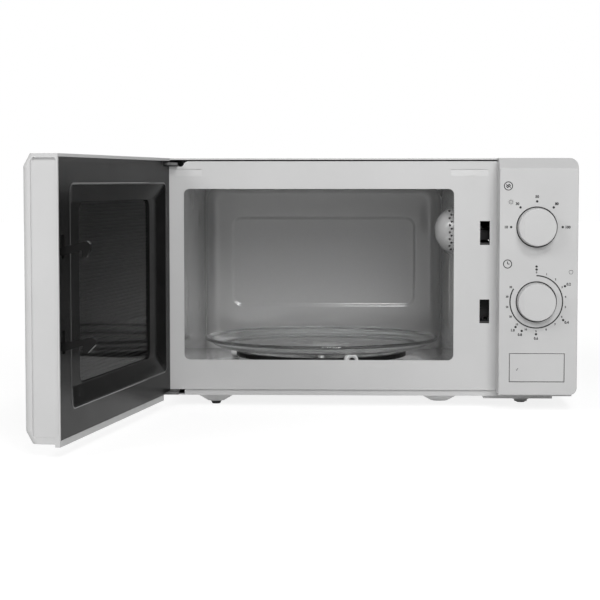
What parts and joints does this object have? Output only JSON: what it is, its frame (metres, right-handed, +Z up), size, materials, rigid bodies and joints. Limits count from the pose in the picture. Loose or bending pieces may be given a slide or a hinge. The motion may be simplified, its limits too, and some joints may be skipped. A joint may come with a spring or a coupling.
{
  "type": "microwave oven",
  "caption": "Compact worktop microwave oven with a hinged door, hooked latch, push-button opener, dial timer and power knob, turntable and cooling fan.",
  "frame": {"origin": "on the worktop under the middle of the box that the oven fills with its door open as in the picture", "axes": "+X to the right seen from the front, +Y from the front to the back, +Z up; the door is open at rest"},
  "size_m": [0.5121, 0.6688, 0.262],
  "materials": {
    "white_plastic": "satin moulded white",
    "white_enamel": "stove enamelled white sheet steel",
    "cavity_enamel": "grey enamelled sheet steel",
    "black_plastic": "glossy moulded black",
    "inner_plastic": "plain moulded dark resin",
    "black_enamel": "black enamelled sheet steel",
    "window_glass": "tinted pane",
    "clear_film": "clear film, glossy",
    "tray_glass": "toughened glass, clear",
    "zinc_steel": "zinc plated sheet steel",
    "rubber": "moulded rubber",
    "copper": "varnished copper wire",
    "aluminium": "pressed aluminium",
    "lamination": "varnished laminated iron",
    "mica": "pressed mica sheet",
    "board_resin": "printed circuit board",
    "lamp_glass": "frosted bulb"
  },
  "bodies": {
    "cabinet": {"base_plate": "white_enamel", "foot_pads": "rubber", "front_plate": "white_enamel", "cavity_left_wall": "cavity_enamel", "cavity_right_wall": "cavity_enamel", "cavity_ceiling": "cavity_enamel", "cavity_floor": "cavity_enamel", "cavity_rear_wall": "cavity_enamel", "outer_casing": "white_enamel", "rear_panel": "zinc_steel", "control_panel": "white_plastic", "timer_unit": "inner_plastic", "timer_bell": "zinc_steel", "upper_hinge": "zinc_steel", "lower_hinge": "zinc_steel", "hinge_screws": "zinc_steel", "latch_board": "inner_plastic", "interlock_switches": "inner_plastic", "turntable_motor": "zinc_steel", "waveguide": "zinc_steel", "waveguide_cover": "mica", "magnetron_yoke": "zinc_steel", "magnetron_anode": "aluminium", "magnetron_filter_box": "zinc_steel", "transformer_core": "lamination", "primary_winding": "copper", "secondary_winding": "copper", "capacitor": "aluminium", "capacitor_clamp": "zinc_steel", "high_voltage_diode": "inner_plastic", "filter_board": "board_resin", "cord_gland": "inner_plastic", "rear_screws": "zinc_steel", "fan_shroud": "inner_plastic", "fan_motor": "lamination", "cavity_lamp": "lamp_glass", "lamp_holder": "inner_plastic", "thermal_cutout": "zinc_steel"},
    "door": {"door_shell": "white_plastic", "door_window": "window_glass", "door_plate": "black_enamel", "door_screen": "black_enamel", "door_film": "clear_film", "door_inner_frame": "black_plastic", "latch_spring": "zinc_steel"},
    "latch": {"latch_hooks": "black_plastic"},
    "button": {"door_button": "white_plastic"},
    "lever": {"button_lever": "inner_plastic"},
    "power_dial": {"power_knob": "white_plastic", "power_shaft": "zinc_steel"},
    "timer_dial": {"timer_knob": "white_plastic", "timer_shaft": "zinc_steel"},
    "turntable": {"glass_tray": "tray_glass", "turntable_coupler": "white_plastic"},
    "roller_carrier": {"roller_ring": "black_plastic"},
    "roller_body_1": {"roller_1": "white_plastic"},
    "roller_body_2": {"roller_2": "white_plastic"},
    "roller_body_3": {"roller_3": "white_plastic"},
    "fan": {"fan_blade": "inner_plastic"}
  },
  "joints": [
    {"name": "door_hinge", "type": "hinge", "parent": "cabinet", "child": "door", "pos_m": [-0.17748, 0.01438, 0], "axis": [0, 0, 1], "range_deg": [-5.67, 99.33]},
    {"name": "latch_slide", "type": "slide", "parent": "door", "child": "latch", "axis": [0, 0, 1], "range_m": [-0.002, 0.006], "stiffness_N_per_m": 400, "springref_m": 0.0004, "deforming": ["latch_spring"]},
    {"name": "button_press", "type": "slide", "parent": "cabinet", "child": "button", "axis": [0, 1, 0], "range_m": [0, 0.006], "stiffness_N_per_m": 400, "springref_m": -0.002},
    {"name": "lever_turn", "type": "hinge", "parent": "cabinet", "child": "lever", "pos_m": [0.16322, 0.03138, 0.078], "axis": [1, 0, 0], "range_deg": [0, 11.5]},
    {"name": "power_turn", "type": "hinge", "parent": "cabinet", "child": "power_dial", "pos_m": [0.21402, -0.00762, 0.191], "axis": [0, 1, 0], "range_deg": [0, 180]},
    {"name": "timer_turn", "type": "hinge", "parent": "cabinet", "child": "timer_dial", "pos_m": [0.21402, -0.00762, 0.114], "axis": [0, 1, 0], "range_deg": [-270, 34]},
    {"name": "turntable_spin", "type": "hinge", "parent": "cabinet", "child": "turntable", "pos_m": [-0.01098, 0.17088, 0], "axis": [0, 0, 1], "continuous": true},
    {"name": "ring_spin", "type": "hinge", "parent": "cabinet", "child": "roller_carrier", "pos_m": [-0.01098, 0.17088, 0], "axis": [0, 0, 1], "continuous": true},
    {"name": "fan_spin", "type": "hinge", "parent": "cabinet", "child": "fan", "pos_m": [0.19372, 0.28538, 0.135], "axis": [0, 1, 0], "continuous": true},
    {"name": "roller_1_spin", "type": "hinge", "parent": "roller_carrier", "child": "roller_body_1", "pos_m": [0.02322, 0.07691, 0.0438], "axis": [0.342, -0.9397, 0], "continuous": true},
    {"name": "roller_2_spin", "type": "hinge", "parent": "roller_carrier", "child": "roller_body_2", "pos_m": [0.0533, 0.24749, 0.0438], "axis": [0.6428, 0.766, 0], "continuous": true},
    {"name": "roller_3_spin", "type": "hinge", "parent": "roller_carrier", "child": "roller_body_3", "pos_m": [-0.10946, 0.18825, 0.0438], "axis": [-0.9848, 0.1736, 0], "continuous": true}
  ],
  "couplings": [
    {"joint": "lever_turn", "follows": "button_press", "rad_per_m": 33.333},
    {"joint": "ring_spin", "follows": "turntable_spin", "ratio": 0.5},
    {"joint": "roller_1_spin", "follows": "turntable_spin", "ratio": -6.6667},
    {"joint": "roller_2_spin", "follows": "turntable_spin", "ratio": -6.6667},
    {"joint": "roller_3_spin", "follows": "turntable_spin", "ratio": -6.6667}
  ]
}
